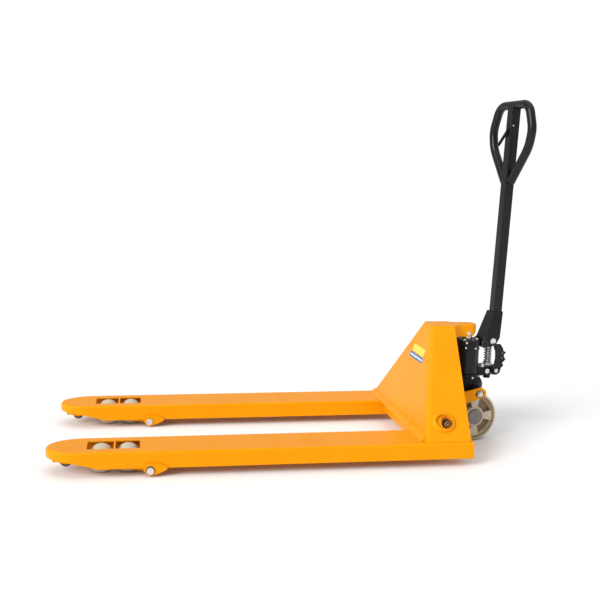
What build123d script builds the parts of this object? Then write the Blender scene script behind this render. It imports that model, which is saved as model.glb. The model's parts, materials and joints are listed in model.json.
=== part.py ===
"""Hand pallet truck with two forks, tandem load rollers, a hydraulic pump and a steering handle.

Millimetres, +Z up. Lengths along the truck are first measured from the fork tips, with the
handle towards +Y, and every piece moves to the middle of the truck when it is written.
The left side is the operator's left when facing the forks, at +X.
"""
import os
from math import asin, atan2, cos, degrees, hypot, pi, radians, sin

from build123d import *

# ---- overall ----
MIDDLE_Y = 840.5            # middle of the overall length, from the fork tips
FORK_SPACING = 525.0        # centre to centre
FORK_W = 160.0
FORK_L = 1415.0
DECK_Z = 83.0               # lowered height of the load deck
SKIRT_Z = 28.0              # lower edge of the fork skirts
PLATE = 4.0
NOSE_L = 120.0
LIFT = 115.0                # lift stroke
HEEL_Y, HEEL_Z = 1244.0, 82.5   # the deck stops just ahead of the A-frame, which stands lower

# ---- load end ----
ROLLER_R = 40.0
ROLLER_W = 68.0
ROLLER_Y = (177.5, 264.5)
BAY = (133.0, 303.0)        # deck opening over the rollers, along Y
BAY_W = 80.0
PIVOT_Y, PIVOT_Z = 336.0, 22.0
BOGIE_Y = sum(ROLLER_Y) / 2
BOGIE_Z = ROLLER_R
LUG_R = 42.0                # push rod pin, from the roller frame pivot
ENTRY_Y, ENTRY_Z, ENTRY_R = 66.0, 40.0, 20.0

# ---- rocker ----
SHAFT_Y, SHAFT_Z = 1332.0, 137.0
ARM_X = 112.0
ARM_T = 12.0
CARRIER_BOLT_DY = 12.0      # bolts of the pump carrier, behind the steering axis
CARRIER_BOLT_Z = 187.0
ROD_X = 250.0
CRANK_X = (232.0, 242.0)

# ---- A-frame ----
FRAME_BASE_X, FRAME_BASE_Y = 333.0, (1250.0, 1408.0)
FRAME_TOP_X, FRAME_TOP_Y, FRAME_TOP_Z = 45.0, (1353.0, 1440.0), 424.5
FRAME_T = 5.0

# ---- steering and pump ----
STEER_Y = 1507.0
STEER_REST = 10.0           # the steered unit stands turned by this angle
WHEEL_R, WHEEL_W, WHEEL_X = 90.0, 50.0, 53.5
JOURNAL_R = 12.5
BEARING_R = 23.5
RAM_R = 17.5
RUN = 0.05                  # radial running clearance
PLUNGER_Y, PLUNGER_R = 1598.0, 9.0
HANDLE_PIVOT_Y, HANDLE_PIVOT_Z = 1561.0, 350.0
PRESS_Y, PRESS_Z, PRESS_R = 1597.0, 358.0, 20.0
SPRING_Z = (270.0, 330.0)

# ---- handle ----
HANDLE_Y, HANDLE_Z = 1622.5, 467.0
HANDLE_LEAN = 2.65
TUBE = 35.0
TUBE_WALL = 2.5
LOOP_R = 15.5
LOOP_TOP = 756.0            # top bar, along the handle from its reference point
LOOP_JOIN = 486.0
LEVER_V, LEVER_W = -9.0, 681.0   # control lever pivot: across and along the handle

SIDES = {"left": 1, "right": -1}


# ---- helpers ----
def box(x, y, z):
    """A block between the two limits given for each axis."""
    size = [abs(b - a) for a, b in (x, y, z)]
    mid = [(a + b) / 2 for a, b in (x, y, z)]
    return Pos(*mid) * Box(*size)


def bar_x(r, x0, x1, y, z):
    return Pos((x0 + x1) / 2, y, z) * Rot(0, 90, 0) * Cylinder(r, abs(x1 - x0))


def bar_y(r, y0, y1, x, z):
    return Pos(x, (y0 + y1) / 2, z) * Rot(90, 0, 0) * Cylinder(r, abs(y1 - y0))


def bar_z(r, z0, z1, x, y):
    return Pos(x, y, (z0 + z1) / 2) * Cylinder(r, abs(z1 - z0))


def side_face(points):
    """A face in the YZ plane from (y, z) points."""
    return make_face(Polyline(*[(0, y, z) for y, z in points], close=True))


def side_plate(points, x0, x1, corner=0.0):
    """A plate that faces sideways, from its (y, z) outline."""
    face = side_face(points)
    if corner:
        face = fillet(face.vertices(), corner)
    return Pos(x0, 0, 0) * extrude(face, x1 - x0, dir=(1, 0, 0))


def link_plate(a, b, ra, rb, x0, x1):
    """A flat link with round ends about two (y, z) centres."""
    dy, dz = b[0] - a[0], b[1] - a[1]
    length = hypot(dy, dz)
    turn = atan2(dz, dy)
    tip = asin((ra - rb) / length)
    outline = []
    for centre, r, side in ((a, ra, 1), (b, rb, 1), (b, rb, -1), (a, ra, -1)):
        angle = turn + side * (pi / 2 - tip)
        outline.append((centre[0] + r * cos(angle), centre[1] + r * sin(angle)))
    web = side_plate(outline, x0, x1)
    return web + bar_x(ra, x0, x1, *a) + bar_x(rb, x0, x1, *b)


def hex_head(r, x0, x1, y, z):
    """A hexagon head whose axis runs sideways."""
    head = extrude(RegularPolygon(r, 6), abs(x1 - x0))
    return Pos(min(x0, x1), y, z) * Rot(0, 90, 0) * head


def group(*shapes):
    return Compound(children=[s for shape in shapes for s in shape.solids()])


def write(name, shape):
    shape = shape if isinstance(shape, Compound) and len(shape.solids()) > 1 else shape.solids()[0]
    export_step(Pos(0, -MIDDLE_Y, 0) * shape, f"parts/{name}.step")


def steered(shape):
    """Turn a piece of the steered unit from straight ahead to its rest angle."""
    return Pos(0, STEER_Y, 0) * Rot(0, 0, STEER_REST) * Pos(0, -STEER_Y, 0) * shape


def handle_place():
    """Local frame of the handle: Z runs up the tube."""
    return Pos(0, HANDLE_Y, HANDLE_Z) * Rot(-HANDLE_LEAN, 0, 0)


# ---- forks ----
def fork_plan(inset):
    half = FORK_W / 2 - inset
    straight = FORK_L - NOSE_L + (20 if inset else 0)
    body = Pos(0, NOSE_L + straight / 2) * Rectangle(2 * half, straight)
    return body + Pos(0, NOSE_L) * Ellipse(half, NOSE_L - inset)


def fork(side):
    cx = side * FORK_SPACING / 2
    shell = Pos(cx, 0, SKIRT_Z) * extrude(fork_plan(0), DECK_Z - SKIRT_Z)
    top = shell.edges().group_by(Axis.Z)[-1]
    shell = fillet([e for e in top if e.center().Y < FORK_L - 1], 9.0)
    inner = Pos(cx, 0, SKIRT_Z - 10) * extrude(fork_plan(PLATE), DECK_Z - PLATE - SKIRT_Z + 10)
    roof = inner.edges().group_by(Axis.Z)[-1]
    inner = fillet([e for e in roof if e.center().Y < FORK_L + 1], 5.0)
    shell -= inner
    rise = [(-10, SKIRT_Z - 20), (168, SKIRT_Z - 20), (168, SKIRT_Z), (135, 38.5), (106, 45),
            (85, 49), (25, 53.5), (-10, 56)]
    shell -= side_plate(rise, cx - FORK_W, cx + FORK_W)
    bay = box((cx - BAY_W / 2, cx + BAY_W / 2), BAY, (DECK_Z - 12, DECK_Z + 8))
    shell -= fillet(bay.edges().filter_by(Axis.Z), 5.0)
    slot = (side * (ROD_X - 24), side * (ROD_X + 12))
    shell -= box(slot, (1285, 1400), (DECK_Z - 12, DECK_Z + 8))
    shell -= box((cx - FORK_W, cx + FORK_W), (HEEL_Y, FORK_L + 5), (HEEL_Z, DECK_Z + 5))
    shell -= bar_x(8.0, cx - FORK_W, cx + FORK_W, PIVOT_Y, PIVOT_Z)
    return shell


def fork_underside_rails():
    rails = []
    for side in SIDES.values():
        cx = side * FORK_SPACING / 2
        for x in (-46, 40):
            rails.append(box((cx + x, cx + x + 6), (410, 1262), (DECK_Z - PLATE - 12, DECK_Z - PLATE)))
    return group(*rails)


def roller_bay_straps():
    straps = []
    for side in SIDES.values():
        cx = side * FORK_SPACING / 2
        y, half, under = (BOGIE_Y - 3, BOGIE_Y + 3), BAY_W / 2, DECK_Z - PLATE
        strap = box((cx - half - 8, cx + half + 8), y, (70, under))
        straps.append(strap + box((cx - half + 0.1, cx + half - 0.1), y, (under, DECK_Z)))
    return group(*straps)


def pivot_ears():
    leaf = [(313, 26), (322, 43), (345, 47), (367, 43), (392, 33), (390, 24), (370, 14), (350, 6), (326, 6)]
    ears = []
    for side in SIDES.values():
        cx = side * FORK_SPACING / 2
        for x0 in (cx + FORK_W / 2, cx - FORK_W / 2 - 5):
            ear = side_plate(leaf, x0, x0 + 5, 5.0)
            ears.append(ear - bar_x(8.0, x0 - 1, x0 + 6, PIVOT_Y, PIVOT_Z))
    return group(*ears)


def roller_frame_pivot_bolts():
    bolts = []
    for side in SIDES.values():
        cx = side * FORK_SPACING / 2
        reach = FORK_W / 2 + 5
        bolt = bar_x(8.0, cx - reach, cx + reach, PIVOT_Y, PIVOT_Z)
        for end in (-1, 1):
            bolt += bar_x(12.0, cx + end * reach, cx + end * (reach + 6), PIVOT_Y, PIVOT_Z)
        bolts.append(bolt)
    return group(*bolts)


def entry_roller_brackets():
    """Hangers under each fork nose with the roller axle and the small guide bar."""
    hangers = []
    outline = [(32, DECK_Z - PLATE), (86, DECK_Z - PLATE), (86, 62), (72, 32), (60, 32), (25, 44)]
    for side in SIDES.values():
        cx = side * FORK_SPACING / 2
        unit = bar_x(6.0, cx - 30, cx + 30, ENTRY_Y, ENTRY_Z)
        for x0 in (cx - 29, cx + 24):
            unit += side_plate(outline, x0, x0 + 5)
        unit += bar_x(6.5, cx - 34, cx + 34, 30, 46.5)
        hangers.append(unit)
    return group(*hangers)


def entry_roller(side):
    cx = side * FORK_SPACING / 2
    roller = bar_x(ENTRY_R, cx - 22, cx + 22, ENTRY_Y, ENTRY_Z)
    roller = fillet(roller.edges(), 3.0)
    return roller - bar_x(6.0 + RUN, cx - 30, cx + 30, ENTRY_Y, ENTRY_Z)


# ---- load rollers ----
def load_roller(side, y):
    cx = side * FORK_SPACING / 2
    half = ROLLER_W / 2
    roller = fillet(bar_x(ROLLER_R, cx - half, cx + half, y, BOGIE_Z).edges(), 4.0)
    for end in (-1, 1):
        roller -= bar_x(24.0, cx + end * (half - 4), cx + end * (half + 1), y, BOGIE_Z)
    return roller - bar_x(10.0 + RUN, cx - half, cx + half, y, BOGIE_Z)


def bogie(side):
    """Two side links that hold the tandem rollers, and the roller axles."""
    cx = side * FORK_SPACING / 2
    pieces = []
    for x0 in (cx - 44, cx + 38):
        link = link_plate((ROLLER_Y[0], BOGIE_Z), (ROLLER_Y[1], BOGIE_Z), 13, 13.001, x0, x0 + 6)
        link += bar_x(17, x0, x0 + 6, BOGIE_Y, BOGIE_Z)
        link -= bar_x(8.0 + RUN, x0 - 1, x0 + 7, BOGIE_Y, BOGIE_Z)
        for y in ROLLER_Y:
            link -= bar_x(10.0, x0 - 1, x0 + 7, y, BOGIE_Z)
        pieces.append(link)
    for y in ROLLER_Y:
        pieces.append(bar_x(10.0, cx - 45.5, cx + 45.5, y, BOGIE_Z))
    return group(*pieces)


def lug_angle():
    """Lean of the push rod lugs at rest, half of the roller frame's whole swing."""
    return radians(roller_swing() / 2)


def roller_swing():
    """Degrees that the roller frame turns so that its rollers sink by the lift stroke."""
    dy, dz = PIVOT_Y - BOGIE_Y, BOGIE_Z - PIVOT_Z
    reach = hypot(dy, dz)
    return degrees(asin(dz / reach) + asin((LIFT - dz) / reach))


def roller_frame(side):
    cx = side * FORK_SPACING / 2
    frame = bar_x(14.0, cx - 54, cx + 54, PIVOT_Y, PIVOT_Z)
    for x0 in (cx - 54, cx + 48):
        frame += link_plate((BOGIE_Y, BOGIE_Z), (PIVOT_Y, PIVOT_Z), 13, 15, x0, x0 + 6)
    for x0, x1 in ((cx - 48, cx - 37.5), (cx + 37.5, cx + 48)):
        frame += bar_x(8.0, x0, x1, BOGIE_Y, BOGIE_Z)
    lean = lug_angle()
    lug_tip = (PIVOT_Y + LUG_R * sin(lean), PIVOT_Z + LUG_R * cos(lean))
    slot_mid = LUG_R - 5.0
    ends = []
    for reach in (slot_mid - 6, slot_mid + 6):
        ends.append((PIVOT_Y + reach * sin(lean), PIVOT_Z + reach * cos(lean)))
    for x0 in (side * ROD_X - 17, side * ROD_X + 9):
        frame += link_plate((PIVOT_Y, PIVOT_Z), lug_tip, 14, 11.5, x0, x0 + 8)
        frame -= link_plate(ends[0], ends[1], 7.5, 7.499, x0 - 1, x0 + 9)
    return frame - bar_x(8.0 + RUN, cx - 60, cx + 60, PIVOT_Y, PIVOT_Z)


# ---- rocker and push rods ----
def rocker_swing():
    dy = STEER_Y + CARRIER_BOLT_DY - SHAFT_Y
    dz = CARRIER_BOLT_Z - SHAFT_Z
    reach = hypot(dy, dz)
    return degrees(asin(dz / reach) + asin((LIFT - dz) / reach))


def crank_radius():
    """Crank length whose pin travels as far as the push rod pins of the roller frames."""
    travel = 2 * LUG_R * sin(lug_angle())
    return travel / (2 * sin(radians(rocker_swing() / 2)))


def crank_pin_place():
    lean = radians(rocker_swing() / 2)
    r = crank_radius()
    return SHAFT_Y + r * sin(lean), SHAFT_Z - r * cos(lean)


def rod_front_place():
    lean = lug_angle()
    return PIVOT_Y + LUG_R * sin(lean), PIVOT_Z + LUG_R * cos(lean)


def torque_shaft():
    shaft = bar_x(17.0, -262, 262, SHAFT_Y, SHAFT_Z)
    return shaft + bar_x(10.0, -306, 306, SHAFT_Y, SHAFT_Z)


def rocker_arms():
    bolt = (STEER_Y + CARRIER_BOLT_DY, CARRIER_BOLT_Z)
    arms = []
    for side in SIDES.values():
        x0, x1 = side * ARM_X - ARM_T / 2, side * ARM_X + ARM_T / 2
        arm = link_plate((SHAFT_Y, SHAFT_Z), bolt, 27, 18, x0, x1)
        arm += bar_x(18, x0, x1, bolt[0] + 6, bolt[1] + 2)
        arm -= bar_x(17.0, x0 - 1, x1 + 1, SHAFT_Y, SHAFT_Z)
        arm -= link_plate((bolt[0] - 7, bolt[1] - 2), (bolt[0] + 7, bolt[1] + 2), 9, 8.999, x0 - 1, x1 + 1)
        arms.append(arm)
    return group(*arms)


def rocker_cranks():
    pin = crank_pin_place()
    cranks = []
    for side in SIDES.values():
        x0, x1 = sorted(side * x for x in CRANK_X)
        crank = link_plate((SHAFT_Y, SHAFT_Z), pin, 25, 12, x0, x1)
        crank -= bar_x(17.0, x0 - 1, x1 + 1, SHAFT_Y, SHAFT_Z)
        crank += bar_x(6.0, side * CRANK_X[1], side * (ROD_X + 8), *pin)
        cranks.append(crank)
    return group(*cranks)


def shaft_end_nuts():
    nuts = []
    for side in SIDES.values():
        nut = fillet(bar_x(14.0, side * 294, side * 304, SHAFT_Y, SHAFT_Z).edges(), 1.5)
        nuts.append(nut - bar_x(10.0, side * 290, side * 310, SHAFT_Y, SHAFT_Z))
    return group(*nuts)


def rocker_shaft_bushes():
    bushes = []
    for side in SIDES.values():
        bush = bar_x(16.0, side * 268, side * 292, SHAFT_Y, SHAFT_Z)
        bushes.append(bush - bar_x(10.0 + RUN, side * 260, side * 300, SHAFT_Y, SHAFT_Z))
    return group(*bushes)


def push_rod(side):
    x = side * ROD_X
    front, rear = rod_front_place(), crank_pin_place()
    start = Vector(x, front[0], front[1])
    end = Vector(x, rear[0], rear[1])
    rod = Solid.make_cylinder(8.0, (end - start).length, Plane(start, z_dir=end - start))
    rod += bar_x(10.0, x - 6, x + 6, *front)
    rod += bar_x(11.0, x - 6, x + 6, *rear)
    rod += bar_x(5.0, x - 18, x + 18, *front)
    return rod - bar_x(6.0 + RUN, x - 12, x + 12, *rear)


# ---- A-frame ----
def frame_block(inset, below):
    """The pyramid-like outer or inner volume of the A-frame."""
    slope = (FRAME_BASE_X - FRAME_TOP_X) / (FRAME_TOP_Z - DECK_Z)
    lean = (FRAME_TOP_Y[0] - FRAME_BASE_Y[0]) / (FRAME_TOP_Z - DECK_Z)
    side_in = inset * hypot(1, slope)
    front_in = inset * hypot(1, lean)
    rear_out = 30 if inset else 0
    sections = []
    for z in (DECK_Z - below, FRAME_TOP_Z - inset):
        up = (z - DECK_Z) / (FRAME_TOP_Z - DECK_Z)
        half = FRAME_BASE_X + (FRAME_TOP_X - FRAME_BASE_X) * up - side_in
        front = FRAME_BASE_Y[0] + (FRAME_TOP_Y[0] - FRAME_BASE_Y[0]) * up + front_in
        rear = FRAME_BASE_Y[1] + (FRAME_TOP_Y[1] - FRAME_BASE_Y[1]) * up + rear_out
        sections.append(Pos(0, (front + rear) / 2, z) * Rectangle(2 * half, rear - front))
    return loft(sections, ruled=True)


def front_bends(block):
    """The two slanted edges where the front plate folds into the side plates."""
    slanted = [e for e in block.edges() if abs((e @ 1 - e @ 0).Z) > 50]
    return sorted(slanted, key=lambda e: e.center().Y)[:2]


def a_frame_shell():
    outer = frame_block(0, DECK_Z - HEEL_Z)
    outer = fillet(front_bends(outer), 16.0)
    inner = frame_block(FRAME_T, 5)
    inner = fillet(front_bends(inner), 11.0)
    shell = outer - inner
    for side in SIDES.values():
        shell -= bar_x(16.0, side * 255, side * 320, SHAFT_Y, SHAFT_Z)
    return shell


def cross_member():
    """Folded plate between the forks, under the foot of the front plate."""
    half = FORK_SPACING / 2 - FORK_W / 2
    y = FRAME_BASE_Y[0]
    member = box((-half, half), (y + 1, y + 7), (44, HEEL_Z))
    return member + box((-half, half), (y + 1, y + 50), (44, 50))


def head_bracket():
    """Pressed head that rests on top of the ram."""
    z0, z1 = 380.0, FRAME_TOP_Z
    back, nose_r = FRAME_TOP_Y[1], 30.0
    plan = make_face(Polyline((-45, back), (45, back), (nose_r, back + 30), (nose_r, STEER_Y),
                              (-nose_r, STEER_Y), (-nose_r, back + 30), close=True))
    plan += Pos(0, STEER_Y) * Circle(nose_r)
    solid = Pos(0, 0, z0) * extrude(plan, z1 - z0)
    solid = fillet(solid.edges().group_by(Axis.Z)[-1].filter_by(lambda e: e.center().Y > back + 2), 5.0)
    hollow = box((-24, 24), (back - 1, STEER_Y - 24), (z0 - 1, z1 - 6))
    solid -= hollow
    slope = [(STEER_Y + 8, z0 - 1), (STEER_Y + 40, z0 - 1), (STEER_Y + 40, z0 + 26)]
    solid -= side_plate(slope, -40, 40)
    return solid - bar_z(RAM_R, z0 - 1, z0 + 22, 0, STEER_Y)


def lift_ram():
    return bar_z(RAM_R, 212, 402, 0, STEER_Y)


# ---- pump carrier ----
def carrier_ring():
    ring = fillet(bar_z(63, 188, 203, 0, STEER_Y).edges(), 1.5)
    for side in SIDES.values():
        y = (STEER_Y - 2, STEER_Y + 26)
        ring += box((side * 48, side * 92), y, (188, 203))
        ring += box((side * 92, side * 104), y, (CARRIER_BOLT_Z - 11, 203))
    return ring - bar_z(40.0 + RUN, 180, 210, 0, STEER_Y)


def carrier_bolts():
    y, z = STEER_Y + CARRIER_BOLT_DY, CARRIER_BOLT_Z
    bolts = []
    for side in SIDES.values():
        bolt = bar_x(7.5, side * 104, side * 120, y, z)
        bolt += bar_x(11.0, side * 118.5, side * 121, y, z)
        bolt += hex_head(8.5, side * 121, side * 128, y, z)
        bolts.append(bolt)
    return group(*bolts)


# ---- pump ----
def pump_base():
    y = STEER_Y
    base = bar_z(50, 209, 240, 0, y)
    base += bar_z(40, 184, 210, 0, y)
    base += box((-22, 22), (y - 30, y + 30), (58, 186))
    block = box((-30, 30), (y + 20, PLUNGER_Y + 27), (230, 262))
    base += fillet(block.edges().filter_by(Axis.Z), 8.0)
    base += bar_z(13, 214, 232, 0, PLUNGER_Y)
    base -= bar_z(45, 240, 270, 0, y)
    base -= box((-30, 30), (y - 15.3, y + 15.3), (90 - 18, 90 + 18))
    base -= bar_y(8.0, y - 40, y + 40, 0, 90)
    base -= bar_z(RAM_R + RUN, 206, 250, 0, y)
    return base - bar_z(PLUNGER_R + RUN, 217, 270, 0, PLUNGER_Y)


def rock_pin():
    y = STEER_Y
    pin = bar_y(8.0, y - 31, y + 31, 0, 90)
    return pin + bar_y(11.0, y - 36, y - 31, 0, 90) + bar_y(11.0, y + 31, y + 36, 0, 90)


def dust_cover():
    """Conical cover over the thrust bearing, on the foot of the pump."""
    outline = [(50, 226), (52, 226), (61.5, 209), (61.5, 204), (58.5, 204), (58.5, 208),
               (51.5, 220.5), (50, 220.5)]
    face = make_face(Polyline(*[(r, 0, z) for r, z in outline], close=True))
    return Pos(0, STEER_Y, 0) * revolve(face, Axis.Z)


def thrust_bearing():
    return bar_z(52, 203.3, 209, 0, STEER_Y) - bar_z(40, 200, 212, 0, STEER_Y)


def pump_reservoir():
    tank = fillet(bar_z(45, 240, 345, 0, STEER_Y).edges(), 2.0)
    return tank - bar_z(38, 230, 350, 0, STEER_Y)


def ram_cylinder():
    return bar_z(27, 240, 345, 0, STEER_Y) - bar_z(RAM_R + RUN, 230, 350, 0, STEER_Y)


def pump_head():
    y = STEER_Y
    head = fillet(bar_z(48, 345, 366, 0, y).edges().group_by(Axis.Z)[-1], 4.0)
    for side in SIDES.values():
        x0, x1 = sorted((side * 10, side * 24))
        lug = box((x0, x1), (y + 25, HANDLE_PIVOT_Y), (345, 364.5))
        lug += bar_x(14.5, x0, x1, HANDLE_PIVOT_Y, HANDLE_PIVOT_Z)
        head += lug
    head -= bar_x(8.0, -30, 30, HANDLE_PIVOT_Y, HANDLE_PIVOT_Z)
    head -= bar_z(45.0, 320, 345, 0, y)
    return head - bar_z(RAM_R + RUN, 340, 370, 0, y)


def pump_head_bolts():
    bolts = []
    for angle in (45, 135, 225, 315):
        a = radians(angle)
        x, y = 36 * cos(a), STEER_Y + 36 * sin(a)
        bolts.append(Pos(x, y, 366) * extrude(RegularPolygon(7, 6), 5.5))
    return group(*bolts)


def plunger_gland():
    gland = Pos(0, PLUNGER_Y, 262) * extrude(RegularPolygon(19, 6), 8)
    return gland - bar_z(PLUNGER_R + RUN, 255, 275, 0, PLUNGER_Y)


def valve_plugs():
    plugs = []
    for y, z, r in ((1577, 247, 10.0), (1595, 236.5, 5.5)):
        plugs.append(hex_head(r, 30, 37, y, z))
    plugs.append(hex_head(9.0, -37, -30, 1585, 246))
    return group(*plugs)


def handle_pivot_pin():
    pin = bar_x(8.0, -36, 36, HANDLE_PIVOT_Y, HANDLE_PIVOT_Z)
    for side in SIDES.values():
        pin += bar_x(11.0, side * 33, side * 36, HANDLE_PIVOT_Y, HANDLE_PIVOT_Z)
    return pin


def pump_plunger():
    plunger = bar_z(PLUNGER_R, 256, SPRING_Z[1], 0, PLUNGER_Y)
    cap = bar_z(17, SPRING_Z[1], PRESS_Z - PRESS_R - 0.3, 0, PLUNGER_Y)
    return plunger + fillet(cap.edges().group_by(Axis.Z)[-1], 2.0)


def plunger_spring():
    ring = bar_z(15.5, SPRING_Z[0], SPRING_Z[1], 0, PLUNGER_Y)
    return ring - bar_z(11.0, SPRING_Z[0] - 1, SPRING_Z[1] + 1, 0, PLUNGER_Y)


def release_lever():
    """Plate lever on the side of the valve block, with a notched rear edge."""
    outline = [(1594, 236), (1592, 256), (1600, 270), (1605, 296), (1604, 322), (1596, 338),
               (1600, 349), (1622, 349), (1634, 333), (1637, 322), (1648, 317), (1639, 307),
               (1640, 300), (1647, 290), (1638, 281), (1633, 277), (1639, 267), (1629, 258),
               (1624, 240), (1610, 233)]
    lever = side_plate(outline, 39, 45, 1.5)
    lever += bar_x(10, 37.5, 47, 1606, 250)
    for y, z in ((1634, 313), (1633, 294)):
        lever -= bar_x(3.0, 35, 50, y, z)
    return lever - bar_x(5.0 + RUN, 30, 50, 1606, 250)


def release_lever_pin():
    return bar_x(5.0, 30, 49, 1606, 250) + bar_x(7.5, 47.3, 50.3, 1606, 250)


# ---- steering wheels ----
def steer_axle():
    y = STEER_Y
    axle = box((-26, 26), (y - 15, y + 15), (90 - 15, 90 + 15))
    axle += bar_x(JOURNAL_R, -76, 76, y, WHEEL_R)
    return axle - bar_y(8.0 + RUN, y - 30, y + 30, 0, 90)


def pocket(x0, x1, turn):
    """Wedge-shaped recess between two spokes of the wheel."""
    ring = bar_x(64, x0, x1, 0, 0) - bar_x(34, x0 - 1, x1 + 1, 0, 0)
    wedge = side_plate([(0, 0), (90, 46), (90, -46)], x0, x1)
    return Rot(turn, 0, 0) * (ring & wedge)


def steer_wheel(side):
    half = WHEEL_W / 2
    wheel = bar_x(WHEEL_R, -half, half, 0, 0)
    wheel = fillet(wheel.edges(), 5.0)
    for turn in (45, 135, 225, 315):
        wheel -= pocket(half - 16, half + 1, turn)
        wheel -= pocket(-half - 1, -half + 16, turn)
    wheel -= bar_x(BEARING_R + RUN, half - 15, half + 1, 0, 0)
    wheel -= bar_x(BEARING_R + RUN, -half - 1, -half + 15, 0, 0)
    wheel -= bar_x(18, -half, half, 0, 0)
    return Pos(side * WHEEL_X, STEER_Y, WHEEL_R) * wheel


def steer_bearings(side):
    rings = []
    for x0, x1 in ((-24, -10), (10, 22)):
        ring = bar_x(BEARING_R, x0, x1, 0, 0) - bar_x(JOURNAL_R + RUN, x0 - 1, x1 + 1, 0, 0)
        rings.append(Pos(side * WHEEL_X, STEER_Y, WHEEL_R) * Rot(0, 0, 0 if side > 0 else 180) * ring)
    return group(*rings)


def hub_cap(side):
    cap = bar_x(29, 25, 29, 0, 0)
    cap = fillet(cap.edges().group_by(Axis.X)[-1], 2.5)
    cap += bar_x(22, 22.6, 25, 0, 0)
    turn = 0 if side > 0 else 180
    return Pos(side * WHEEL_X, STEER_Y, WHEEL_R) * Rot(0, 0, turn) * cap


# ---- handle ----
def handle_yoke():
    """Tapered socket of the handle tube, with cheeks down to the pivot and the press roller."""
    def socket(inset):
        reach = 20 if inset else 0
        over = 2 if inset else 0
        low = (1566 + inset * 1.1, 1626 + reach, 32 - inset, 368 - over)
        high = (1600 + inset * 1.1, 1641 + reach, TUBE / 2 + 4 - inset, 467 + over)
        faces = []
        for y0, y1, half, z in (low, high):
            faces.append(Pos(0, (y0 + y1) / 2, z) * Rectangle(2 * half, y1 - y0))
        return loft(faces, ruled=True)
    yoke = socket(0) - socket(4)
    cheek = [(1566, 370), (1549, 358), (1549, 343), (1560, 334), (1589, 338), (1610, 343), (1626, 370)]
    for x0 in (-32, 27):
        yoke += side_plate(cheek, x0, x0 + 5)
    yoke -= bar_x(8.0 + RUN, -40, 40, HANDLE_PIVOT_Y, HANDLE_PIVOT_Z)
    return yoke - bar_x(7.0, -40, 40, PRESS_Y, PRESS_Z)


def press_roller_pin():
    pin = bar_x(7.0, -34, 34, PRESS_Y, PRESS_Z)
    for side in SIDES.values():
        pin += bar_x(11.5, side * 32, side * 35, PRESS_Y, PRESS_Z)
    return pin


def press_roller():
    roller = fillet(bar_x(PRESS_R, -12, 12, PRESS_Y, PRESS_Z).edges(), 1.5)
    return roller - bar_x(7.0 + RUN, -20, 20, PRESS_Y, PRESS_Z)


def loop_sweep():
    """Racket-shaped grip in the handle's local XZ plane."""
    half = [(20, LOOP_JOIN - 6), (108, LOOP_JOIN + 116), (121, LOOP_TOP - 90), (89, LOOP_TOP)]
    points = [(-x, 0, z) for x, z in half] + [(x, 0, z) for x, z in reversed(half)]
    path = FilletPolyline(*points, radius=[120, 85, 48, 48, 85, 120])
    section = Plane(origin=path @ 0, z_dir=path % 0) * Circle(LOOP_R)
    return sweep(section, path=path)


def tube_block(size, z0, z1):
    return box((-size / 2, size / 2), (-size / 2, size / 2), (z0, z1))


def handle_loop():
    loop = loop_sweep() - tube_block(TUBE, LOOP_JOIN - 60, LOOP_JOIN + 120)
    return handle_place() * group(*loop.solids()) if len(loop.solids()) > 1 else handle_place() * loop


def handle_tube():
    low, high = -50, LOOP_TOP
    tube = fillet(tube_block(TUBE, low, high).edges().filter_by(Axis.Z), 4.0)
    tube -= tube_block(TUBE - 2 * TUBE_WALL, low - 1, LOOP_TOP - 20)
    tube -= box((-20, 20), (-20, 20), (LOOP_TOP - 4, LOOP_TOP + 20))
    tube -= loop_sweep()
    tube -= box((-3.3, 3.3), (-TUBE / 2 - 1, 0), (LEVER_W - 41, LEVER_W + 9))
    tube -= bar_x(3.0, -20, 20, LEVER_V, LEVER_W)
    return handle_place() * sorted(tube.solids(), key=lambda s: s.volume)[-1]


def lever_pin():
    return handle_place() * bar_x(3.0, -18.5, 18.5, LEVER_V, LEVER_W)


def control_lever():
    """Finger lever that stands out of the front of the tube and points down."""
    arm = [(5, 5), (-5, 5), (-13, -12), (-48, -70), (-45, -76), (-40, -75), (-7, -22), (5, -8)]
    lever = side_plate([(LEVER_V + y, LEVER_W + z) for y, z in arm], -2.5, 2.5, 1.5)
    return handle_place() * (lever - bar_x(3.0 + RUN, -5, 5, LEVER_V, LEVER_W))


def control_rod():
    return handle_place() * bar_z(3.0, -44, LEVER_W - 40, 0, 4)


def steered_pieces():
    pieces = {
        "pump_base": pump_base(), "rock_pin": rock_pin(), "thrust_bearing": thrust_bearing(),
        "dust_cover": dust_cover(),
        "pump_reservoir": pump_reservoir(), "ram_cylinder": ram_cylinder(),
        "pump_head": pump_head(), "pump_head_bolts": pump_head_bolts(),
        "plunger_gland": plunger_gland(), "valve_plugs": valve_plugs(),
        "handle_pivot_pin": handle_pivot_pin(), "pump_plunger": pump_plunger(),
        "plunger_spring": plunger_spring(), "release_lever": release_lever(),
        "release_lever_pin": release_lever_pin(), "steer_axle": steer_axle(),
        "handle_yoke": handle_yoke(), "press_roller_pin": press_roller_pin(),
        "press_roller": press_roller(), "handle_loop": handle_loop(),
        "handle_tube": handle_tube(), "lever_pin": lever_pin(),
        "control_lever": control_lever(), "control_rod": control_rod(),
    }
    for name, side in SIDES.items():
        pieces[f"steer_wheel_{name}"] = steer_wheel(side)
        pieces[f"steer_bearings_{name}"] = steer_bearings(side)
        pieces[f"hub_cap_{name}"] = hub_cap(side)
    return {name: steered(shape) for name, shape in pieces.items()}


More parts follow.
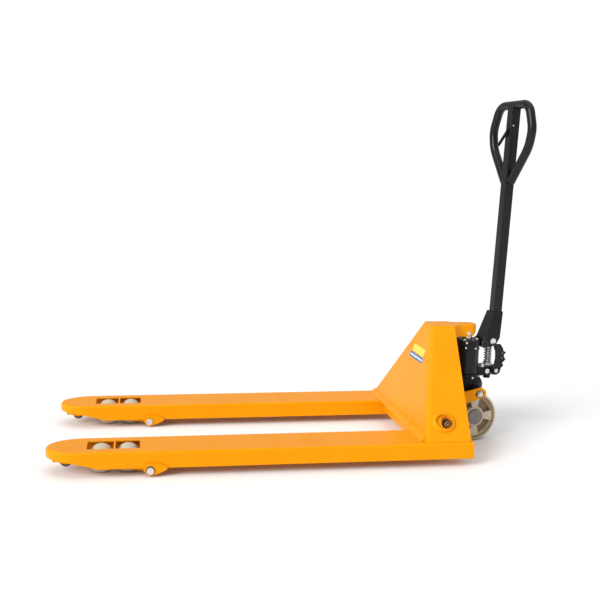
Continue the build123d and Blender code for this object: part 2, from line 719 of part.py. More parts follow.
def frame_pieces():
    pieces = {
        "fork_underside_rails": fork_underside_rails(), "roller_bay_straps": roller_bay_straps(),
        "pivot_ears": pivot_ears(), "roller_frame_pivot_bolts": roller_frame_pivot_bolts(),
        "entry_roller_brackets": entry_roller_brackets(), "a_frame_shell": a_frame_shell(),
        "cross_member": cross_member(), "head_bracket": head_bracket(), "lift_ram": lift_ram(),
        "rocker_shaft_bushes": rocker_shaft_bushes(), "torque_shaft": torque_shaft(),
        "rocker_arms": rocker_arms(), "rocker_cranks": rocker_cranks(),
        "shaft_end_nuts": shaft_end_nuts(), "carrier_ring": carrier_ring(),
        "carrier_bolts": carrier_bolts(),
    }
    for name, side in SIDES.items():
        pieces[f"fork_{name}"] = fork(side)
        pieces[f"entry_roller_{name}"] = entry_roller(side)
        pieces[f"bogie_{name}"] = bogie(side)
        pieces[f"roller_frame_{name}"] = roller_frame(side)
        pieces[f"push_rod_{name}"] = push_rod(side)
        for place, y in zip(("front", "rear"), ROLLER_Y):
            pieces[f"load_roller_{name}_{place}"] = load_roller(side, y)
    return pieces


def main():
    os.makedirs("parts", exist_ok=True)
    for name, shape in {**frame_pieces(), **steered_pieces()}.items():
        write(name, shape)
    pin, front = crank_pin_place(), rod_front_place()
    print(f"rocker swing {rocker_swing():.3f} deg, roller frame swing {roller_swing():.3f} deg")
    print(f"crank pin {pin[0]:.2f} {pin[1]:.2f}, rod front pin {front[0]:.2f} {front[1]:.2f}")


if __name__ == "__main__":
    main()
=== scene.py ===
import json
from math import atan2, cos, radians, sin, tau

import bmesh
import bpy
from mathutils import Matrix, Vector, noise


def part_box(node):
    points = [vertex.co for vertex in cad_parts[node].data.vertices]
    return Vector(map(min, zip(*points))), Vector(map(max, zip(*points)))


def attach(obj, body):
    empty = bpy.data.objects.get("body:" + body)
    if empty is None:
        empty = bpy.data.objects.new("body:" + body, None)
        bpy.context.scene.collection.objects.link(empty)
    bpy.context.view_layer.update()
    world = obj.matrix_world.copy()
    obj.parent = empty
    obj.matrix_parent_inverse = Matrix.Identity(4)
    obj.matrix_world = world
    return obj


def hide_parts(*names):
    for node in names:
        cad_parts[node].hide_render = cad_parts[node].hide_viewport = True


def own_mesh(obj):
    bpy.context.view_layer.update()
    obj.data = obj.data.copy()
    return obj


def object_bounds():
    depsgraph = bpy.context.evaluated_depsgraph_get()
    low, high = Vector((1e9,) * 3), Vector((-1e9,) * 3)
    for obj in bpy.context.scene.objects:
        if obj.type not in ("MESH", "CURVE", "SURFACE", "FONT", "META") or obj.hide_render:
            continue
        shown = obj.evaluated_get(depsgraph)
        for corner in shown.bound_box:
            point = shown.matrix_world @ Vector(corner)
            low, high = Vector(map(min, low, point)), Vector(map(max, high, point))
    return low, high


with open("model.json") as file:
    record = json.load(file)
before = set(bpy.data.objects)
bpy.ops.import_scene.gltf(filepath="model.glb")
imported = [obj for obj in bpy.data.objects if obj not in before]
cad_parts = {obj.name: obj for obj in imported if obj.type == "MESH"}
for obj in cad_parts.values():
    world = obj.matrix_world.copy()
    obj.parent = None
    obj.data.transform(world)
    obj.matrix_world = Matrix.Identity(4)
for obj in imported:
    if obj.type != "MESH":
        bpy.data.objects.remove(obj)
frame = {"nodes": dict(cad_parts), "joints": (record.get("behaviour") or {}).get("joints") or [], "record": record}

cad_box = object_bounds()

# ---- places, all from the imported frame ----
JOINTS = {j["name"]: j for j in frame["joints"]}
SIDES = {"left": 1, "right": -1}
ACROSS = Vector(JOINTS["press_roller_spin"]["axis"])          # steered unit's own left
STEER = Vector(JOINTS["steer"]["pos_m"])
UNIT = Matrix((
    (ACROSS.x, -ACROSS.y, 0, STEER.x),
    (ACROSS.y, ACROSS.x, 0, STEER.y),
    (0, 0, 1, 0),
    (0, 0, 0, 1),
))                                                            # x across, y rearward, z up
FRAME_HALF_TOP = 0.045                                        # half width of the A-frame's top
FRAME_TOP_FRONT = 0.5125                                      # where the front plate ends at the top
SLOT_OF = {s["node"]: s["material_slot"] for s in frame["record"]["subparts"]}


def mid(node):
    lo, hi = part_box(node)
    return (lo + hi) / 2


def in_unit(point):
    """A point of the row frame in the steered unit's own frame."""
    return UNIT.inverted() @ Vector(point)


# ---- shader helpers ----
class Graph:
    """A material's node tree, built up from short calls."""

    def __init__(self, name):
        self.material = bpy.data.materials.new(name)
        self.material.use_nodes = True
        self.nodes = self.material.node_tree.nodes
        self.links = self.material.node_tree.links
        self.shader = self.nodes["Principled BSDF"]
        self.space = self.nodes.new("ShaderNodeTexCoord").outputs["Object"]

    def add(self, kind, inputs=(), **settings):
        node = self.nodes.new(kind)
        for key, value in settings.items():
            setattr(node, key, value)
        for key, value in dict(inputs).items():
            socket = node.inputs[key]
            if isinstance(value, bpy.types.NodeSocket):
                self.links.new(value, socket)
            else:
                socket.default_value = value
        return node

    def set(self, **values):
        for key, value in values.items():
            self.put(key.replace("_", " "), value)

    def put(self, key, value):
        socket = self.shader.inputs[key]
        if isinstance(value, bpy.types.NodeSocket):
            self.links.new(value, socket)
        else:
            socket.default_value = value

    def stretched(self, scale):
        return self.add("ShaderNodeMapping", {"Vector": self.space, "Scale": scale}).outputs[0]

    def noise(self, scale, detail=3.0, rough=0.5, vector=None, distortion=0.0):
        return self.add("ShaderNodeTexNoise", {
            "Vector": vector or self.space, "Scale": scale, "Detail": detail,
            "Roughness": rough, "Distortion": distortion}).outputs["Fac"]

    def cells(self, scale, feature="F1"):
        return self.add("ShaderNodeTexVoronoi", {"Vector": self.space, "Scale": scale},
                        feature=feature).outputs["Distance"]

    def span(self, value, low, high, to_low=0.0, to_high=1.0):
        return self.add("ShaderNodeMapRange", {
            "Value": value, "From Min": low, "From Max": high,
            "To Min": to_low, "To Max": to_high}).outputs[0]

    def math(self, operation, a, b=0.5):
        return self.add("ShaderNodeMath", {0: a, 1: b}, operation=operation).outputs[0]

    def mix(self, factor, a, b, blend="MIX"):
        node = self.add("ShaderNodeMix", data_type="RGBA", blend_type=blend)
        for socket, value in ((node.inputs[0], factor), (node.inputs[6], a), (node.inputs[7], b)):
            if isinstance(value, bpy.types.NodeSocket):
                self.links.new(value, socket)
            else:
                socket.default_value = value
        return node.outputs[2]

    def edges(self, radius):
        """1 on edges and corners, 0 on flat faces."""
        soft = self.add("ShaderNodeBevel", {"Radius": radius}, samples=4).outputs[0]
        hard = self.add("ShaderNodeNewGeometry").outputs["Normal"]
        dot = self.add("ShaderNodeVectorMath", {0: soft, 1: hard}, operation="DOT_PRODUCT").outputs["Value"]
        return self.span(dot, 0.995, 0.80)

    def crevice_shade(self, distance):
        """1 in corners and gaps, 0 in the open; the mask for painted shade."""
        hidden = self.add("ShaderNodeAmbientOcclusion", {"Distance": distance}, samples=6)
        return self.span(hidden.outputs["AO"], 0.75, 0.25)

    def round_normal(self, radius):
        return self.add("ShaderNodeBevel", {"Radius": radius}, samples=4).outputs[0]

    def bump(self, height, depth, strength=1.0, normal=None):
        inputs = {"Height": height, "Distance": depth, "Strength": strength}
        if normal is not None:
            inputs["Normal"] = normal
        self.put("Normal", self.add("ShaderNodeBump", inputs).outputs[0])


def rgba(r, g, b):
    return (r, g, b, 1.0)


# ---- materials ----
def powder_coat(name, base, deep, chip, rough, coat, peel, spec=0.4,
                tint=(1, 1, 1, 1), round_edge=0.0012):
    """Sprayed paint: orange peel, faint mottling, rubbed edges, painted shade in corners and fine scratches."""
    g = Graph(name)
    mottle = g.span(g.noise(7.0, 4.0, 0.6), 0.35, 0.7)
    fine = g.noise(420.0, 2.0)
    colour = g.mix(g.math("MULTIPLY", mottle, 0.35), base, deep)
    scratch = g.noise(34.0, 3.0, 0.7, g.stretched((1.0, 26.0, 9.0)))
    scratched = g.span(scratch, 0.70, 0.76)
    edge = g.edges(0.0016)
    broken = g.span(g.noise(150.0, 5.0, 0.65), 0.50, 0.62)
    worn = g.math("MULTIPLY", edge, broken)
    colour = g.mix(g.math("MULTIPLY", worn, 0.55), colour, chip)
    # painted shade: the paint darkens toward its deep tone in corners and gaps
    colour = g.mix(g.math("MULTIPLY", g.crevice_shade(0.012), 0.35), colour, deep)
    g.put("Base Color", colour)
    rub = g.span(g.noise(16.0, 4.0, 0.6), 0.3, 0.75, rough - 0.04, rough + 0.08)
    g.put("Roughness", g.math("ADD", rub, g.math("MULTIPLY", scratched, 0.12)))
    g.set(Specular_IOR_Level=spec, Specular_Tint=tint, Coat_Weight=coat, Coat_Roughness=0.09)
    waves = g.math("ADD", g.math("MULTIPLY", fine, 1.0), g.math("MULTIPLY", g.noise(110.0, 2.0), 1.6))
    height = g.math("SUBTRACT", waves, g.math("MULTIPLY", scratched, 0.5))
    g.bump(height, peel, 0.5, g.round_normal(round_edge))
    return g.material


def casting(name, base, deep, chip, grain):
    """Painted sand casting: pebbled skin, oily patches and bare high spots."""
    g = Graph(name)
    pebble = g.noise(240.0, 5.0, 0.7)
    patch = g.span(g.noise(11.0, 3.0, 0.6), 0.35, 0.7)
    colour = g.mix(patch, base, deep)
    worn = g.math("MULTIPLY", g.edges(0.0018), g.span(g.noise(95.0, 5.0, 0.7), 0.46, 0.60))
    colour = g.mix(g.math("MULTIPLY", worn, 0.6), colour, chip)
    g.put("Base Color", colour)
    g.put("Roughness", g.span(patch, 0.0, 1.0, 0.34, 0.50))
    g.set(Specular_IOR_Level=0.2, Coat_Weight=0.04, Coat_Roughness=0.2)
    g.bump(pebble, grain, 0.7, g.round_normal(0.0015))
    return g.material


def bright_metal(name, base, deep, rough, streak, scale, ring=0.00006):
    """Plated or turned steel with fine tool marks, dull patches and painted shade in its crevices."""
    g = Graph(name)
    marks = g.noise(scale, 4.0, 0.6, g.stretched(streak))
    patch = g.span(g.noise(45.0, 4.0, 0.65), 0.35, 0.72)
    colour = g.mix(patch, base, deep)
    # painted shade: crevices darken to near black
    colour = g.mix(g.math("MULTIPLY", g.crevice_shade(0.006), 0.7), colour, rgba(0.05, 0.045, 0.04))
    g.put("Base Color", colour)
    g.put("Roughness", g.math("ADD", g.span(marks, 0.2, 0.8, rough - 0.06, rough + 0.08),
                              g.math("MULTIPLY", patch, 0.06)))
    g.set(Metallic=1.0)
    g.bump(marks, ring, 0.5, g.round_normal(0.0006))
    return g.material


def cast_nylon(name, base, stain, scuff_and_shade, rough):
    """Slightly translucent cast nylon with rolling scuffs and painted shade in its hollows."""
    g = Graph(name)
    cloud = g.span(g.noise(22.0, 4.0, 0.55), 0.3, 0.75)
    colour = g.mix(g.math("MULTIPLY", cloud, 0.5), base, stain)
    # painted shade: hollows darken toward the dark scuff colour, patchy in strength
    hollow_shade = g.math("MULTIPLY", g.crevice_shade(0.02), g.span(g.noise(60.0, 4.0, 0.6), 0.2, 0.7, 0.5, 1.0))
    colour = g.mix(hollow_shade, colour, scuff_and_shade)
    # real scuff specks in the same dark colour
    speck = g.span(g.noise(300.0, 3.0, 0.8), 0.66, 0.72)
    colour = g.mix(g.math("MULTIPLY", speck, 0.35), colour, scuff_and_shade)
    g.put("Base Color", colour)
    g.put("Roughness", g.span(cloud, 0.0, 1.0, rough - 0.06, rough + 0.1))
    g.set(Subsurface_Weight=0.12, Subsurface_Scale=0.004)
    turned = g.noise(500.0, 2.0)
    g.bump(turned, 0.00005, 0.6, g.round_normal(0.0012))
    return g.material


def moulded(name, base, light, rough):
    """Grey moulded plastic or rubber with a fine leather grain."""
    g = Graph(name)
    colour = g.mix(g.span(g.noise(40.0, 3.0), 0.3, 0.7), base, light)
    colour = g.mix(g.math("MULTIPLY", g.edges(0.001), 0.35), colour, light)
    g.put("Base Color", colour)
    g.put("Roughness", g.span(g.noise(30.0, 3.0), 0.3, 0.7, rough - 0.05, rough + 0.08))
    g.bump(g.cells(1400.0), 0.00005, 0.5, g.round_normal(0.0008))
    return g.material


YELLOW = powder_coat("yellow_paint", rgba(0.90, 0.325, 0.0003), rgba(0.78, 0.255, 0.0003),
                     rgba(0.50, 0.20, 0.03), 0.38, 0.04, 0.00006, 0.30, rgba(1.0, 0.70, 0.18))
SATIN_BLACK = powder_coat("black_paint", rgba(0.007, 0.007, 0.009), rgba(0.013, 0.012, 0.014),
                          rgba(0.12, 0.115, 0.11), 0.27, 0.05, 0.00004, 0.24)
CAST_BLACK = casting("black_casting", rgba(0.005, 0.005, 0.006), rgba(0.012, 0.010, 0.009),
                     rgba(0.09, 0.085, 0.08), 0.00035)
ZINC = bright_metal("zinc", rgba(0.78, 0.78, 0.76), rgba(0.55, 0.54, 0.50), 0.26, (1, 1, 1), 700.0)
GROUND = bright_metal("ground_steel", rgba(0.66, 0.66, 0.67), rgba(0.50, 0.49, 0.47), 0.20,
                      (1, 1, 30), 160.0)
BRONZE = bright_metal("bronze", rgba(0.62, 0.40, 0.17), rgba(0.36, 0.22, 0.10), 0.36, (1, 1, 1), 500.0)
NYLON = cast_nylon("nylon", rgba(0.64, 0.56, 0.41), rgba(0.50, 0.42, 0.28), rgba(0.16, 0.12, 0.065), 0.40)
# painted shade: a darker copy of the nylon for the wheels' recessed webs and rim rings
NYLON_PAINTED_SHADE = cast_nylon("nylon_shaded", rgba(0.26, 0.185, 0.085), rgba(0.19, 0.13, 0.06),
                         rgba(0.08, 0.055, 0.03), 0.5)
# a near-black copy of the nylon, given to the entry rollers
ROLLER = cast_nylon("roller_nylon", rgba(0.10, 0.085, 0.065), rgba(0.07, 0.055, 0.04),
                    rgba(0.03, 0.025, 0.02), 0.42)
WHITE_PLUG = moulded("white_plug", rgba(0.72, 0.72, 0.70), rgba(0.82, 0.82, 0.80), 0.4)
DARK_SEAL = moulded("dark_seal", rgba(0.018, 0.016, 0.015), rgba(0.035, 0.032, 0.03), 0.5)
GREY_CAP = moulded("grey_cap", rgba(0.19, 0.155, 0.15), rgba(0.27, 0.23, 0.225), 0.42)

MATERIALS = {"yellow_paint": YELLOW, "black_paint": SATIN_BLACK, "black_casting": CAST_BLACK,
             "zinc": ZINC, "ground_steel": GROUND, "bronze": BRONZE, "nylon": NYLON,
             "grey_cap": GREY_CAP}


def decal(name, ink, faded):
    g = Graph(name)
    worn = g.span(g.noise(190.0, 5.0, 0.65), 0.55, 0.72)
    g.put("Base Color", g.mix(g.math("MULTIPLY", worn, 0.6), ink, faded))
    g.put("Roughness", g.span(g.noise(40.0), 0.3, 0.7, 0.28, 0.42))
    g.set(Coat_Weight=0.5, Coat_Roughness=0.1)
    g.bump(g.noise(900.0, 2.0), 0.00002, 0.5)
    return g.material


LABEL_YELLOW = decal("label_yellow", rgba(1.0, 0.72, 0.02), rgba(0.95, 0.55, 0.02))
LABEL_BLUE = decal("label_blue", rgba(0.02, 0.10, 0.36), rgba(0.10, 0.18, 0.36))
LABEL_WHITE = decal("label_white", rgba(0.62, 0.76, 0.92), rgba(0.45, 0.58, 0.75))

DARKER = {"carrier_bolts": GROUND, "handle_pivot_pin": SATIN_BLACK,
          "entry_roller_left": ROLLER, "entry_roller_right": ROLLER}
for node, obj in frame["nodes"].items():
    obj.data.materials.clear()
    obj.data.materials.append(DARKER.get(node, MATERIALS[SLOT_OF[node]]))


# ---- mesh helpers ----
def finish_mesh(name, bm, body, slot, material=None, matrix=None, smooth=35.0, bevel=0.0):
    """Turn a bmesh into a piece that rides on its body."""
    bmesh.ops.recalc_face_normals(bm, faces=bm.faces)
    mesh = bpy.data.meshes.new(name)
    bm.to_mesh(mesh)
    bm.free()
    if matrix is not None:
        mesh.transform(matrix)
    mesh.materials.append(material or MATERIALS[slot])
    mesh.shade_smooth()
    mesh.set_sharp_from_angle(angle=radians(smooth))
    obj = bpy.data.objects.new(name, mesh)
    bpy.context.scene.collection.objects.link(obj)
    if bevel:
        soften = obj.modifiers.new("edges", "BEVEL")
        soften.width, soften.segments, soften.limit_method = bevel, 2, "ANGLE"
        soften.harden_normals = True
    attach(obj, body)
    return obj


def lathe(bm, profile, matrix=Matrix.Identity(4), steps=48, flute=None):
    """Revolve (radius, height) points about Z. A closed profile makes a ring."""
    closed = profile[0][0] > 1e-6 or profile[-1][0] > 1e-6
    rings = []
    for r, z in profile:
        if r <= 1e-6:
            rings.append([bm.verts.new(matrix @ Vector((0, 0, z)))])
            continue
        ring = []
        for i in range(steps):
            a = tau * i / steps
            k = r + (flute(a, r, z) if flute else 0)
            ring.append(bm.verts.new(matrix @ Vector((k * cos(a), k * sin(a), z))))
        rings.append(ring)
    pairs = list(zip(rings, rings[1:])) + ([(rings[-1], rings[0])] if closed else [])
    for a, b in pairs:
        for i in range(steps):
            j = (i + 1) % steps
            loop = [a[i % len(a)], a[j % len(a)], b[j % len(b)], b[i % len(b)]]
            unique = list(dict.fromkeys(loop))
            if len(unique) > 2:
                bm.faces.new(unique)


def sweep(bm, points, radius, sides=10, closed=False):
    """A round bar along a line of points; radius is a number or a function of the point's index."""
    points = [Vector(p) for p in points]
    count = len(points)
    rings = []
    side = None
    for i, p in enumerate(points):
        ahead = points[(i + 1) % count] if closed or i < count - 1 else p
        behind = points[i - 1] if closed or i else p
        along = (ahead - behind).normalized()
        if side is None:
            side = along.orthogonal().normalized()
        side = (side - along * side.dot(along)).normalized()
        up = along.cross(side)
        r = radius(i) if callable(radius) else radius
        turns = [tau * k / sides for k in range(sides)]
        rings.append([bm.verts.new(p + side * r * cos(a) + up * r * sin(a)) for a in turns])
    pairs = list(zip(rings, rings[1:])) + ([(rings[-1], rings[0])] if closed else [])
    for a, b in pairs:
        for k in range(sides):
            m = (k + 1) % sides
            bm.faces.new((a[k], a[m], b[m], b[k]))
    if not closed:
        bm.faces.new(rings[0][::-1])
        bm.faces.new(rings[-1])


def prism(bm, outline, z0, z1, matrix=Matrix.Identity(4), bevel=0.0):
    """Extrude a closed (x, y) outline from z0 to z1 and soften its edges."""
    low = [bm.verts.new(matrix @ Vector((x, y, z0))) for x, y in outline]
    high = [bm.verts.new(matrix @ Vector((x, y, z1))) for x, y in outline]
    faces = [bm.faces.new(low[::-1]), bm.faces.new(high)]
    for i in range(len(outline)):
        j = (i + 1) % len(outline)
        faces.append(bm.faces.new((low[i], low[j], high[j], high[i])))
    if bevel:
        edges = list({e for f in faces for e in f.edges})
        bmesh.ops.bevel(bm, geom=edges, offset=bevel, segments=2, profile=0.7, affect="EDGES")


def ngon(r, sides, turn=0.0):
    return [(r * cos(tau * i / sides + turn), r * sin(tau * i / sides + turn)) for i in range(sides)]


def facing(place, direction):
    """Matrix whose Z points along direction, at place."""
    z = Vector(direction).normalized()
    x = z.orthogonal().normalized()
    if abs(z.z) < 0.9:
        x = Vector((0, 0, 1)).cross(z).normalized()
    y = z.cross(x)
    m = Matrix((x, y, z)).transposed().to_4x4()
    m.translation = Vector(place)
    return m


def bolt(bm, place, direction, r, height, washer=1.45, turn=0.3, socket=False):
    """Bolt head with its washer: hexagon with a chamfered top, or a socket cap."""
    m = facing(place, direction)
    thin = height * 0.25
    if washer:
        rw = r * washer
        lathe(bm, [(0, -0.001), (rw, -0.001), (rw, thin * 0.7), (rw - thin * 0.3, thin), (0, thin)], m, 28)
    if socket:
        rc, deep, inner = r, height * 0.55, r * 0.5
        lathe(bm, [(0, thin), (rc, thin), (rc, height * 0.86), (rc * 0.9, height), (inner, height),
                   (inner * 0.98, height - deep), (0, height - deep)], m, 24)
        return
    lathe(bm, [(0, thin * 0.9), (r * 0.93, thin * 0.9), (r * 0.93, thin * 1.05), (0, thin * 1.05)], m, 24)
    outline = ngon(r * 1.1, 6, turn)
    prism(bm, outline, thin, height * 0.86, m)
    crown = [(x * 0.9, y * 0.9) for x, y in ngon(r * 1.1, 18, turn)]
    prism(bm, crown, height * 0.86 - 1e-4, height, m, height * 0.04)


def weld(bm, start, end, r=0.003, pitch=0.0022, seed=0.0):
    """A fillet weld bead with its row of ripples."""
    start, end = Vector(start), Vector(end)
    count = max(6, int((end - start).length / pitch * 2))
    points = [start.lerp(end, i / (count - 1)) for i in range(count)]

    def radius(i):
        lump = noise.noise(Vector((i * 0.31, seed, 1.7)))
        taper = min(1.0, (i + 1) / 3, (count - i) / 3)
        return r * taper * (0.92 + 0.12 * (i % 2) + 0.16 * lump)
    sweep(bm, points, radius, 8)


# ---- camera ----
def camera():
    """The photographed view: low, from the operator's left and a little ahead of the pump."""
    place = Vector((2.9686, -0.5181, 0.9942))
    yaw, pitch, roll = 0.1254, 0.1352, 0.0138
    ahead = Vector((-cos(yaw) * cos(pitch), sin(yaw) * cos(pitch), -sin(pitch)))
    right = Vector((sin(yaw), cos(yaw), 0))
    up = right.cross(ahead)
    r = cos(roll) * right + sin(roll) * up
    u = -sin(roll) * right + cos(roll) * up
    cam = bpy.data.objects.new("camera", bpy.data.cameras.new("camera"))
    cam.data.sensor_width, cam.data.lens = 36.0, 50.88
    cam.data.shift_x, cam.data.shift_y = 0.0812, -0.0328
    cam.data.clip_start, cam.data.clip_end = 0.05, 60.0
    cam.matrix_world = Matrix((
        (r.x, u.x, -ahead.x, place.x),
        (r.y, u.y, -ahead.y, place.y),
        (r.z, u.z, -ahead.z, place.z),
        (0, 0, 0, 1)))
    bpy.context.scene.collection.objects.link(cam)
    bpy.context.scene.camera = cam


# ---- studio ----
AMBIENT, BACKDROP = 0.54, 1.0
SUNS = (("key", (0.48, -0.78, 0.55), 2.3, 30), ("top", (0.05, 0.1, 1.0), 0.7, 60))



def studio():
    bm = bmesh.new()
    bmesh.ops.create_grid(bm, x_segments=8, y_segments=8, size=55.0)
    mesh = bpy.data.meshes.new("floor")
    bm.to_mesh(mesh)
    bm.free()
    floor = bpy.data.objects.new("floor", mesh)
    floor.location = (0, 0, cad_box[0].z - 0.0005)
    bpy.context.scene.collection.objects.link(floor)
    g = Graph("studio_floor")
    g.put("Base Color", rgba(0.97, 0.97, 0.97))
    g.put("Roughness", g.span(g.noise(3.0), 0.3, 0.7, 0.55, 0.65))
    floor.data.materials.append(g.material)

    world = bpy.data.worlds.new("studio")
    world.use_nodes = True
    tree = world.node_tree
    backdrop = tree.nodes["Background"]
    seen = tree.nodes.new("ShaderNodeLightPath").outputs["Is Camera Ray"]
    level = tree.nodes.new("ShaderNodeMapRange")
    level.inputs["To Min"].default_value, level.inputs["To Max"].default_value = AMBIENT, BACKDROP
    tree.links.new(seen, level.inputs["Value"])
    tree.links.new(level.outputs[0], backdrop.inputs["Strength"])
    backdrop.inputs["Color"].default_value = rgba(1.0, 1.0, 1.0)
    bpy.context.scene.world = world
    bpy.context.scene.view_settings.view_transform = "Standard"

    for name, toward, strength, soft in SUNS:
        lamp = bpy.data.lights.new(name, "SUN")
        lamp.energy, lamp.angle = strength, radians(soft)
        light = bpy.data.objects.new(name, lamp)
        light.rotation_euler = Vector(toward).to_track_quat("Z", "Y").to_euler()
        bpy.context.scene.collection.objects.link(light)


# ---- pump ----
SPRING_WIRE, SPRING_TURNS = 0.0025, 7.5
# angle, height and wall radius of each screw on the reservoir and the foot
SCREWS = ((-31, 0.3590, 0.0478), (-34, 0.3400, 0.0448), (12, 0.3375, 0.0448),
          (45, 0.3340, 0.0448), (-1, 0.2290, 0.0498), (42, 0.2300, 0.0498))


def coil_spring():
    """The pump's return spring, with closed ends."""
    lo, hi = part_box("plunger_spring")
    centre = in_unit((lo + hi) / 2)
    wire, turns, steps = SPRING_WIRE, SPRING_TURNS, 26
    r = 0.0155 - wire
    low, high = lo.z + wire, hi.z - wire
    points = []
    total = int(turns * steps)
    for i in range(total + 1):
        t = i / total
        rise = min(max((t * turns - 0.9) / (turns - 1.8), 0.0), 1.0)
        a = tau * turns * t
        around = Vector((centre.x + r * cos(a), centre.y + r * sin(a), low + (high - low) * rise))
        points.append(UNIT @ around)
    bm = bmesh.new()
    sweep(bm, points, wire, 10)
    spring = finish_mesh("coil_spring", bm, "pump", "ground_steel", GROUND)
    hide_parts("plunger_spring")
    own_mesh(spring)


def pump_fasteners():
    """Screws round the head and the foot of the pump."""
    bm = bmesh.new()
    for angle, z, wall in SCREWS:
        for side in (1, -1):
            a = radians(angle)
            way = Vector((side * cos(a), sin(a), 0))
            bolt(bm, UNIT @ (way * wall + Vector((0, 0, z))), UNIT.to_3x3() @ way, 0.0034, 0.0042, 1.2)
    finish_mesh("pump_screws", bm, "pump", "zinc")


def head_band():
    """Clamping band where the reservoir meets the head."""
    bm = bmesh.new()
    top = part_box("pump_reservoir")[1].z
    lathe(bm, [(0.0445, -0.014), (0.0462, -0.013), (0.0462, -0.009), (0.0445, -0.008)],
          UNIT @ Matrix.Translation((0, 0, top)), 64)
    finish_mesh("reservoir_band", bm, "pump", "black_paint")


def pump_small_parts():
    """Breather, snap rings on the pivot pin and the screw in the lifting head."""
    block_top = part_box("plunger_gland")[0].z
    bm = bmesh.new()
    cone = [(0, -0.001), (0.0062, -0.001), (0.0062, 0.004), (0.0026, 0.0125), (0.0012, 0.0132), (0, 0.0132)]
    lathe(bm, cone, UNIT @ Matrix.Translation((0.0235, 0.0560, block_top)), 28)
    finish_mesh("breather", bm, "pump", "nylon", WHITE_PLUG)

    pin = in_unit(mid("handle_pivot_pin"))
    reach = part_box("handle_pivot_pin")
    half = (reach[1].x - reach[0].x) / 2 / cos(atan2(ACROSS.y, ACROSS.x)) - 0.0035
    ring = [(0.0105, -0.001), (0.0135, -0.001), (0.0138, 0.0008), (0.0128, 0.0024), (0.0105, 0.0024)]
    bm = bmesh.new()
    for side in (1, -1):
        m = facing(UNIT @ Vector((side * half, pin.y, pin.z)), ACROSS * side)
        lathe(bm, ring, m, 36)
    finish_mesh("pivot_snap_rings", bm, "pump", "black_paint", DARK_SEAL)

    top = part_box("head_bracket")[1].z
    bm = bmesh.new()
    for side in (1, -1):
        bolt(bm, (side * 0.0298, STEER.y - 0.006, top - 0.033), (side, 0, 0), 0.0055, 0.006)
    finish_mesh("head_screws", bm, "frame", "zinc")


def carrier_seals():
    """Dark washers behind the heads of the carrier's bolts."""
    place = mid("carrier_bolts")
    seal = [(0.0104, 0.0008), (0.0130, 0.0008), (0.0134, 0.0018), (0.0126, 0.0030), (0.0104, 0.0030)]
    bm = bmesh.new()
    for side in (1, -1):
        lathe(bm, seal, facing((side * 0.1178, place.y, place.z), (side, 0, 0)), 40)
    finish_mesh("carrier_seals", bm, "carrier", "black_paint", DARK_SEAL)


def ear_washers():
    """Dark washers under the heads of the pivot bolts, on the forks' outer ears."""
    bolts, ears = mid("roller_frame_pivot_bolts"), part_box("pivot_ears")[1]
    bm = bmesh.new()
    for side in (1, -1):
        m = facing((side * ears.x, bolts.y, bolts.z), (side, 0, 0))
        lathe(bm, [(0.0110, -0.0006), (0.0143, -0.0006), (0.0146, 0.0006), (0.0136, 0.0018),
                   (0.0110, 0.0018)], m, 40)
    finish_mesh("ear_washers", bm, "frame", "black_paint", DARK_SEAL)


# ---- wheels ----
# radius and offset from the wheel's middle plane, in mm
HALF_RIM = [(90, 0), (89.4, 14), (87.6, 22.5), (84, 24.9), (73, 24.5), (71, 22), (68, 9), (39.5, 9),
            (38, 22.5), (36, 24.2), (24, 24.2), (24, 10), (18, 10)]
RIM = [(r, -x) for r, x in HALF_RIM[:0:-1]] + HALF_RIM
WEB = [(0.0385, -0.0096), (0.0695, -0.0096), (0.0695, 0.0096), (0.0385, 0.0096)]
SPOKE = [(0.034, -0.0115), (0.072, -0.0200), (0.072, 0.0200), (0.034, 0.0115)]


def wheel(side_name, side):
    """Spoked cast wheel: rim, hub and four wide spokes, with the webs between them and the rim's recessed rings in
    a darker copy of the nylon as painted shade.
    """
    joint = JOINTS["steer_wheel_%s_spin" % side_name]
    body = "steer_wheel_" + side_name
    place = facing(joint["pos_m"], ACROSS * side)
    bm = bmesh.new()
    lathe(bm, [(r / 1000, x / 1000) for r, x in RIM], place, 96)
    for i in range(4):
        turned = place @ Matrix.Rotation(tau * i / 4, 4, "Z")
        for face in (1, -1):
            z0, z1 = sorted((face * 0.008, face * 0.0228))
            prism(bm, SPOKE, z0, z1, turned, 0.0014)
    piece = finish_mesh("spoked_wheel_" + side_name, bm, body, "nylon")
    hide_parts("steer_wheel_" + side_name)
    bm = bmesh.new()
    lathe(bm, WEB, place, 72)
    for face in (1, -1):
        z0, z1 = face * 0.0240, face * 0.0249
        lathe(bm, [(0.0725, z0), (0.0800, z0), (0.0800, z1), (0.0725, z1)], place, 72)
    # the webs and recessed rim rings take the darker nylon copy as painted shade
    finish_mesh("wheel_webs_" + side_name, bm, body, "nylon", NYLON_PAINTED_SHADE)


# ---- frame ----
CUP = [(0.0385, -0.0012), (0.0360, 0.0030), (0.0315, 0.0078), (0.0290, 0.0092), (0.0266, 0.0088),
       (0.0250, 0.0060), (0.0242, -0.0012)]


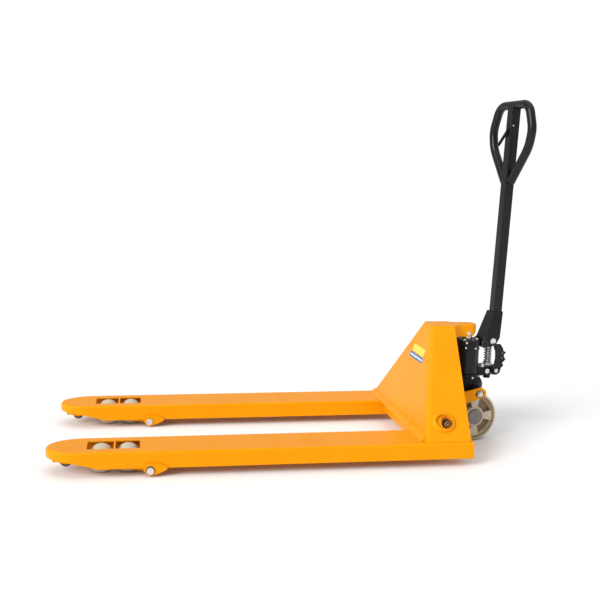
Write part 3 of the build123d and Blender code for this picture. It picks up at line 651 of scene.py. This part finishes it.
def shaft_cups():
    """Pressed cup round each end of the rocker shaft, on the leaning side plates."""
    nuts = mid("shaft_end_nuts")
    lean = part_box("a_frame_shell")
    bm = bmesh.new()
    for side in (1, -1):
        up = (nuts.z - lean[0].z) / (lean[1].z - lean[0].z)
        x = lean[1].x + (FRAME_HALF_TOP - lean[1].x) * up
        m = facing((side * x, nuts.y - 0.007, nuts.z + 0.001), (side * 0.7645, 0, 0.6447))
        m = m @ Matrix.Diagonal((1.12, 1.0, 1.0, 1.0))
        lathe(bm, CUP, m, 72)
    finish_mesh("shaft_cups", bm, "frame", "yellow_paint")
    bm = bmesh.new()
    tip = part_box("shaft_end_nuts")[1].x
    for side in (1, -1):
        m = facing((side * (tip - 0.0002), nuts.y, nuts.z), (side, 0, 0))
        lathe(bm, [(0, -0.0010), (0.0088, -0.0010), (0.0088, 0.0022), (0.0080, 0.0028), (0.0030, 0.0028),
                   (0.0026, 0.0016), (0, 0.0016)], m, 32)
    finish_mesh("shaft_end_caps", bm, "rocker", "grey_cap", DARK_SEAL)


def frame_welds():
    """Beads where the A-frame stands on the forks and where the plates meet."""
    lo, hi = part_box("a_frame_shell")
    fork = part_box("fork_left")
    bm = bmesh.new()
    z, front, rear = lo.z + 0.0010, lo.y, fork[1].y - 0.008
    for side in (1, -1):
        edge = side * (hi.x - 0.0005)
        weld(bm, (edge, front + 0.016, z), (edge, rear, z), 0.0032, 0.0024, side)
        weld(bm, (side * fork[0].x, front, z), (side * (hi.x - 0.018), front, z), 0.0032, 0.0024, side + 3)
    finish_mesh("frame_welds", bm, "frame", "yellow_paint")


def foot_strip():
    """Folded lip along the foot of the front plate."""
    lo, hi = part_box("a_frame_shell")
    half, y, z = hi.x - 0.017, lo.y, lo.z + 0.0004
    outline = [(-0.0150, 0), (-0.0142, 0.0022), (0.0005, 0.0150), (0.0050, 0.0170), (0.0050, 0)]
    bm = bmesh.new()
    along = Matrix(((0, 0, 1, 0), (1, 0, 0, y), (0, 1, 0, z), (0, 0, 0, 1)))
    prism(bm, outline, -half, half, along, 0.0008)
    finish_mesh("foot_strip", bm, "frame", "yellow_paint")


LABELS = (("label_patch", (-0.058, 0.064), (0.313, 0.339), LABEL_YELLOW, 0.0004),
          ("label_band", (-0.072, 0.070), (0.290, 0.309), LABEL_BLUE, 0.0004),
          ("label_stripe", (-0.066, 0.064), (0.2965, 0.3025), LABEL_WHITE, 0.0007))


def label():
    """Plain coloured sticker without lettering on the front plate."""
    lo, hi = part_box("a_frame_shell")
    bend = (FRAME_TOP_FRONT - lo.y) / (hi.z - lo.z)
    way = Vector((0, -1, bend)).normalized()
    for name, (x0, x1), (z0, z1), material, lift in LABELS:
        spots = ((x0, z0), (x1, z0), (x1, z1), (x0, z1))
        corners = [Vector((x, lo.y + bend * (z - lo.z), z)) for x, z in spots]
        m = facing(corners[0], way)
        flat = [m.inverted() @ p for p in corners]
        bm = bmesh.new()
        prism(bm, [(p.x, p.y) for p in flat], -0.0006, lift, m)
        finish_mesh(name, bm, "frame", "yellow_paint", material)


# ---- put it together ----
camera()
studio()
coil_spring()
pump_fasteners()
head_band()
pump_small_parts()
carrier_seals()
ear_washers()
for side_name, side in SIDES.items():
    wheel(side_name, side)
shaft_cups()
frame_welds()
foot_strip()
label()
